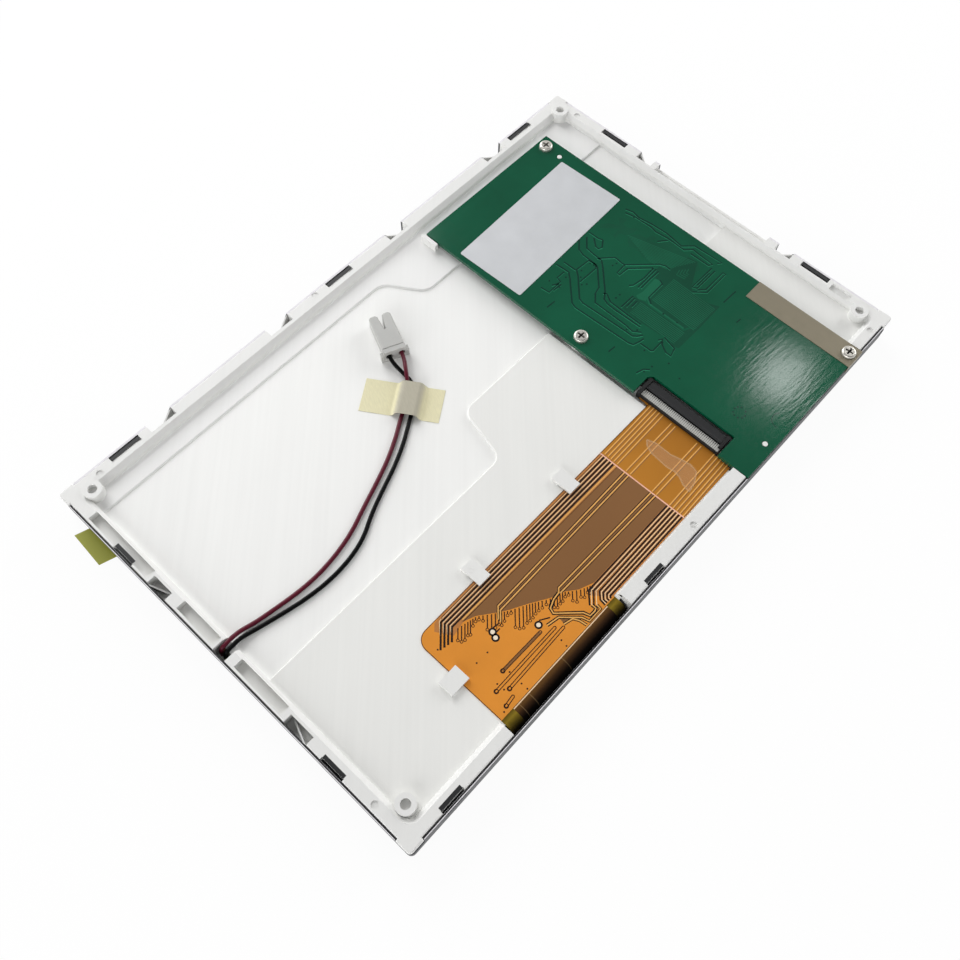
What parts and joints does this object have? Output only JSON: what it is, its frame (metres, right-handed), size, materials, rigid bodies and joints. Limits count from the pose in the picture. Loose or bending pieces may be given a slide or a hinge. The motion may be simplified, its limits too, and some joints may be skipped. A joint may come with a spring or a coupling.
{
  "type": "display module",
  "caption": "Flat liquid crystal display module with a steel front bezel, a white rear chassis, a controller board, a folded flex and two backlight leads, shown back up.",
  "frame": {"origin": "middle of the module's outline, on the surface that the module lies on, in front of its viewing window", "axes": "+X along the long side towards the end with the controller board, +Y along the short side away from the edge that the flex folds over, +Z out of the module's back"},
  "size_m": [0.174, 0.1101, 0.0092],
  "materials": {
    "bezel_steel": "satin",
    "white_resin": "matte",
    "black_foam": "matte",
    "clear_film": "gloss",
    "green_film": "satin",
    "polarizer_film": "satin",
    "panel_glass": "polished",
    "silicon": "gloss",
    "flex_polyimide": "satin",
    "frame_resin": "matte",
    "optical_film": "satin",
    "guide_acrylic": "gloss",
    "reflector_film": "gloss",
    "white_laminate": "satin",
    "led_phosphor": "satin",
    "green_laminate": "gloss",
    "black_epoxy": "matte",
    "tinned_metal": "satin",
    "ceramic": "satin",
    "connector_resin": "matte",
    "lock_resin": "satin",
    "screw_steel": "polished",
    "conductive_cloth": "satin",
    "label_paper": "satin",
    "plug_resin": "satin",
    "red_sleeve": "satin",
    "black_sleeve": "satin",
    "tape_paper": "matte"
  },
  "bodies": {
    "module": {"front_bezel": "bezel_steel", "window_gasket": "black_foam", "protective_film": "clear_film", "film_pull_tab": "green_film", "front_polarizer": "polarizer_film", "color_filter_glass": "panel_glass", "array_glass": "panel_glass", "rear_polarizer": "polarizer_film", "source_driver_chips": "silicon", "gate_driver_chips": "silicon", "panel_flex": "flex_polyimide", "flex_stiffener": "flex_polyimide", "middle_frame": "frame_resin", "upper_prism_sheet": "optical_film", "lower_prism_sheet": "optical_film", "diffuser_sheet": "optical_film", "light_guide": "guide_acrylic", "reflector_sheet": "reflector_film", "led_strip": "white_laminate", "backlight_leds": "led_phosphor", "rear_chassis": "white_resin", "controller_board": "green_laminate", "controller_chip": "black_epoxy", "controller_chip_leads": "tinned_metal", "supply_chip": "black_epoxy", "supply_inductor": "black_epoxy", "board_capacitors": "ceramic", "host_connector": "plug_resin", "host_connector_contacts": "tinned_metal", "flex_connector_housing": "connector_resin", "flex_connector_contacts": "tinned_metal", "board_screws": "screw_steel", "ground_strap": "conductive_cloth", "board_label": "label_paper", "lead_plug": "plug_resin", "lead_terminals": "tinned_metal", "lead_red": "red_sleeve", "lead_black": "black_sleeve", "lead_tape": "tape_paper"},
    "connector_lock": {"flex_connector_lock": "lock_resin"}
  },
  "joints": [
    {"name": "lock_flip", "type": "hinge", "parent": "module", "child": "connector_lock", "pos_m": [0.0277, -0.034, 0.00747], "axis": [0, -1, 0], "range_deg": [0, 95]}
  ]
}
